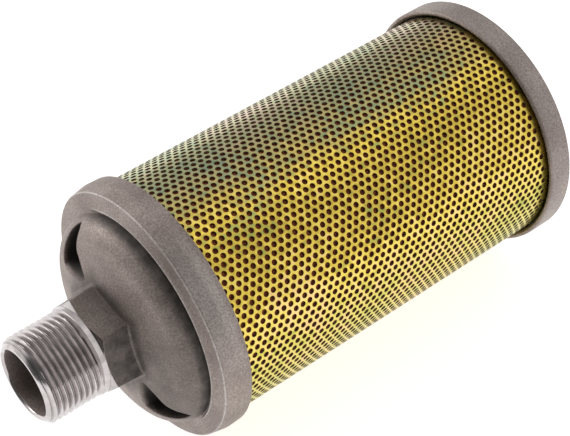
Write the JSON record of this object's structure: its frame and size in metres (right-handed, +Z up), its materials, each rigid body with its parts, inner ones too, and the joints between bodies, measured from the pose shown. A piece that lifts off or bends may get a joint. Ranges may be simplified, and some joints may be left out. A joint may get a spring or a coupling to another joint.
{
  "type": "pneumatic exhaust muffler",
  "caption": "Cylindrical exhaust muffler: threaded hexagon inlet casting, domed flange, perforated jacket over fibre, and a flat end cap held by a tie rod.",
  "frame": {"origin": "middle of the inlet thread's crests, on the muffler's axis", "axes": "+X along the axis from the open inlet to the closed end, +Z up as the muffler lies on its two rims"},
  "size_m": [0.2152, 0.099, 0.099],
  "materials": {
    "head_casting": "as cast, matt, with a machined thread",
    "cap_casting": "as cast, matt",
    "screen_steel": "zinc plated, yellow passivated",
    "core_steel": "bright zinc plated",
    "felt": "needled felt",
    "fibre": "loose mineral fibre",
    "gasket": "pressed fibre sheet",
    "rod_steel": "rolled and zinc plated",
    "nut_steel": "zinc plated",
    "washer_steel": "zinc plated",
    "seal": "moulded"
  },
  "bodies": {
    "root": {"inlet_head": "head_casting", "end_cap": "cap_casting", "outer_screen": "screen_steel", "inner_core": "core_steel", "felt_wrap": "felt", "fibre_pack": "fibre", "head_gasket": "gasket", "cap_gasket": "gasket", "core_gasket_head": "gasket", "core_gasket_cap": "gasket", "tie_rod": "rod_steel", "hub_nut": "nut_steel", "cap_nut": "nut_steel", "flat_washer": "washer_steel", "seal_washer": "seal"}
  },
  "joints": []
}
